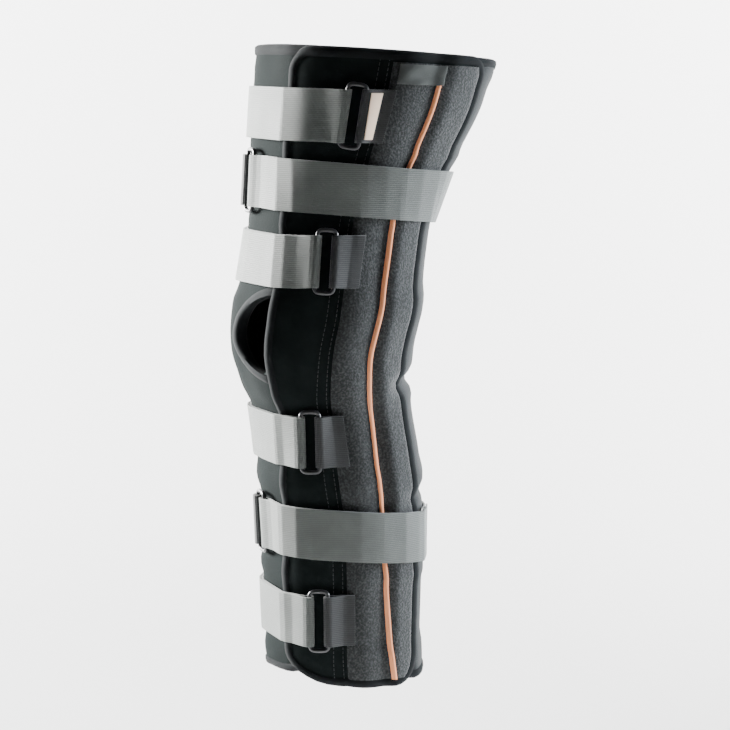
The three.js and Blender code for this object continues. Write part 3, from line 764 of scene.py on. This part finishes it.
# Worn webbing isn't quite taut, so each band waves by about a millimetre.
def webbing_band(name, node, cloth):
    band = from_frame(name, node)
    cut_edges(band, lambda run: abs(run.z) > strap_half * 1.5, 5)
    for _ in range(2):
        cut_edges(band, lambda run: runs_along(run, longest_step), 1)
    write_wrap(band)
    round_off(band, 36)
    for vertex in band.data.vertices:
        outward = Vector((vertex.co.x, vertex.co.y - leg_centre(vertex.co.z), 0)).normalized()
        wave = 0.9 * noise.noise(vertex.co * 22 + Vector((7, 2, 1)))
        vertex.co += outward * webbing_wave * (0.25 + wave)
    soften_edges(band, 0.0004)
    subdivide_surface(band, 1)
    band.data.materials.append(cloth)


for number in range(1, 7):
    webbing_band(f"webbing_{number}", f"strap_{number}", grey_webbing)
    webbing_band(f"webbing_tab_{number}", f"ring_tab_{number}", black_webbing)


# The rings are moulded black plastic, rectangular with rounded bars and corners. The strap turns on
# one long bar and the tab holds the other, and use has scuffed them a little.
ring_plastic = bpy.data.materials.new("ring_plastic")
ring_plastic.use_nodes = True
ring_nodes, ring_links = ring_plastic.node_tree.nodes, ring_plastic.node_tree.links
ring_surface = ring_nodes["Principled BSDF"]
ring_surface.inputs["Base Color"].default_value = (0.02, 0.021, 0.023, 1)
ring_surface.inputs["Coat Weight"].default_value = 0.4
ring_surface.inputs["Coat Roughness"].default_value = 0.15
ring_where = ring_nodes.new("ShaderNodeTexCoord")
ring_scuff = ring_nodes.new("ShaderNodeTexNoise")
ring_scuff.inputs["Scale"].default_value = 260
ring_scuff.inputs["Detail"].default_value = 4
ring_rough = ring_nodes.new("ShaderNodeMapRange")
ring_rough.inputs["To Min"].default_value = 0.22
ring_rough.inputs["To Max"].default_value = 0.45
ring_bump = ring_nodes.new("ShaderNodeBump")
ring_bump.inputs["Strength"].default_value = 0.12
ring_bump.inputs["Distance"].default_value = 0.0002
ring_links.new(ring_where.outputs["Object"], ring_scuff.inputs["Vector"])
ring_links.new(ring_scuff.outputs["Fac"], ring_rough.inputs["Value"])
ring_links.new(ring_rough.outputs["Result"], ring_surface.inputs["Roughness"])
ring_links.new(ring_scuff.outputs["Fac"], ring_bump.inputs["Height"])
ring_links.new(ring_bump.outputs["Normal"], ring_surface.inputs["Normal"])

for number in range(1, 7):
    ring = from_frame(f"loop_ring_{number}", f"ring_{number}")
    subdivide_surface(ring, 2)
    ring.data.materials.append(ring_plastic)


# A plain grey flap closes the near pocket's mouth, from near the seam to over the piping's end. It
# is thin woven cloth with turned edges, a little loose, and its lower edge stands off the pile.
flap_cloth = knit_material("flap_cloth", (0.055, 0.060, 0.058), (0.095, 0.102, 0.098), 0.3, 0.3)
flap_front_edge = 69
flap_high = panel_height - 0.009
flap_wrinkle = 0.0008
flap_thickness = 0.0009
flap_stand = 0.0017
lip_height = 0.0012
over_cord_height = 0.0016


def pocket_flap():
    flap = new_grid("pocket_flap", 30, 24)
    for vertex in flap.data.vertices:
        across, up = vertex.co.x + 0.5, vertex.co.y + 0.5
        level = mix(flap_low, flap_high, up)
        z = level - knee_height
        rear = piping_line(z) + angle_over(cord_half_width, z)
        angle = mix(flap_front_edge, rear, across)
        z = lean(level, angle)
        loose = flap_wrinkle * noise.noise(Vector((across * 3, up * 2, 4)))
        lip = lip_height * ease(1 - up / 0.4)
        over_cord = over_cord_height * hollow(rear - angle - 2, 3.5)
        crown = pocket_pile + flap_stand + loose + lip + over_cord
        vertex.co = off_leg(angle, z, panel_lift(angle) + foam + foam_relief(angle, z) + crown)
    solidify(flap, flap_thickness, -1)
    write_wrap(flap)
    soften_edges(flap, 0.0003)
    bpy.ops.object.shade_smooth_by_angle(angle=math.radians(50))
    flap.data.materials.append(flap_cloth)
    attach(flap, "root")
    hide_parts("pocket_flap_near")


pocket_flap()


# A plain peach strip is sewn across the first ring's tab, just beyond the ring. It is a thin woven
# ribbon, and it stays blank.
label_cloth = knit_material("label_cloth", (0.92, 0.66, 0.46), (0.97, 0.80, 0.66), 0.2, 0.3)
label = from_frame("tab_label", "label_strip")
soften_edges(label, 0.0003)
write_wrap(label)
bpy.ops.object.shade_smooth_by_angle(angle=math.radians(50))
label.data.materials.append(label_cloth)


# Pale paper lies under the splint and runs up behind it, away from the camera. It bends up on a wide
# round, so that no corner shows behind the splint.
camera_azimuth = 60
floor_height = -0.42
wall_distance = 1.7
paper_bend = 0.9
paper_length = 9
paper_width = 8
paper_in_front = 3


def studio_paper():
    paper = new_grid("studio_paper", 4, 60)
    turn = math.radians(camera_azimuth)
    right = Vector((math.cos(turn), math.sin(turn), 0))
    back = Vector((-math.sin(turn), math.cos(turn), 0))
    for vertex in paper.data.vertices:
        run = (vertex.co.y + 0.5) * paper_length - paper_in_front
        flat = min(run, wall_distance - paper_bend)
        bend = min(max(0, run - flat), paper_bend * math.pi / 2)
        up = max(0, run - flat - bend)
        depth = flat + paper_bend * math.sin(bend / paper_bend)
        height = paper_bend * (1 - math.cos(bend / paper_bend)) + up
        level = Vector((0, 0, floor_height + height))
        vertex.co = right * vertex.co.x * paper_width + back * depth + level
    bpy.ops.object.shade_smooth()
    pale = bpy.data.materials.new("pale_paper")
    pale.use_nodes = True
    surface = pale.node_tree.nodes["Principled BSDF"]
    surface.inputs["Base Color"].default_value = (0.9, 0.9, 0.9, 1)
    surface.inputs["Roughness"].default_value = 0.9
    paper.data.materials.append(pale)


studio_paper()


# Soft studio light: a key at the front, a cooler one behind and two that wash the paper wall. The
# room beyond the paper looks pale and gives little light.
world = bpy.data.worlds.new("studio")
bpy.context.scene.world = world
world.use_nodes = True
room = world.node_tree.nodes["Background"]
room.inputs["Color"].default_value = (1, 1, 1, 1)
sight = world.node_tree.nodes.new("ShaderNodeLightPath")
glow = world.node_tree.nodes.new("ShaderNodeMapRange")
glow.inputs["To Min"].default_value = 0.10
glow.inputs["To Max"].default_value = 3.0
world.node_tree.links.new(sight.outputs["Is Camera Ray"], glow.inputs["Value"])
world.node_tree.links.new(glow.outputs["Result"], room.inputs["Strength"])


def studio_spot(azimuth, distance, height):
    turn = math.radians(azimuth)
    return Vector((math.sin(turn) * distance, -math.cos(turn) * distance, height))


# A square lamp turned to its aim: size in metres, power in watts, spread in degrees.
def soft_light(name, spot, aim, size, power, colour, spread=180):
    lamp = bpy.data.lights.new(name, "AREA")
    lamp.size = size
    lamp.energy = power
    lamp.color = colour
    lamp.spread = math.radians(spread)
    holder = bpy.data.objects.new(name, lamp)
    bpy.context.collection.objects.link(holder)
    holder.location = spot
    holder.rotation_euler = (spot - aim).to_track_quat("Z", "Y").to_euler()


behind = studio_spot(camera_azimuth + 180, 1, 0)
for name, side in (("left_wash", -1), ("right_wash", 1)):
    spot = behind * 0.2 + studio_spot(camera_azimuth + 90, side * 1.2, 0.75)
    soft_light(name, spot, spot + behind, 0.9, 170, (1, 1, 1))
soft_light("front_key", studio_spot(-56, 1.6, 0.3), Vector(), 0.6, 30, (1, 1, 0.98), 50)
soft_light("rear_rim", studio_spot(157, 1.5, 0.2), Vector(), 0.7, 10, (0.88, 0.94, 1), 50)


# The camera stands level with the splint's top, off its near front side, and is tilted down. The
# splint's offsets in the picture are given in pixels, at the scale of the splint's middle.
camera_distance = 1.8
camera_height = 0.235
picture_width = 730
picture_scale = 0.0008
lens_trim = 1.015
aim_right = 40 * picture_scale
aim_down = 318 * picture_scale
turn = math.radians(camera_azimuth)
camera_place = Vector((math.sin(turn), -math.cos(turn), 0)) * camera_distance
camera_place.z = camera_height
aim = Vector((math.cos(turn), math.sin(turn), 0)) * aim_right
aim.z = camera_height - aim_down
camera = bpy.data.cameras.new("camera")
camera.sensor_width = 36
camera.lens = camera.sensor_width * lens_trim * (camera_distance / picture_scale) / picture_width
camera_object = bpy.data.objects.new("camera", camera)
bpy.context.collection.objects.link(camera_object)
camera_object.location = camera_place
camera_object.rotation_euler = (camera_place - aim).to_track_quat("Z", "Y").to_euler()
bpy.context.scene.camera = camera_object
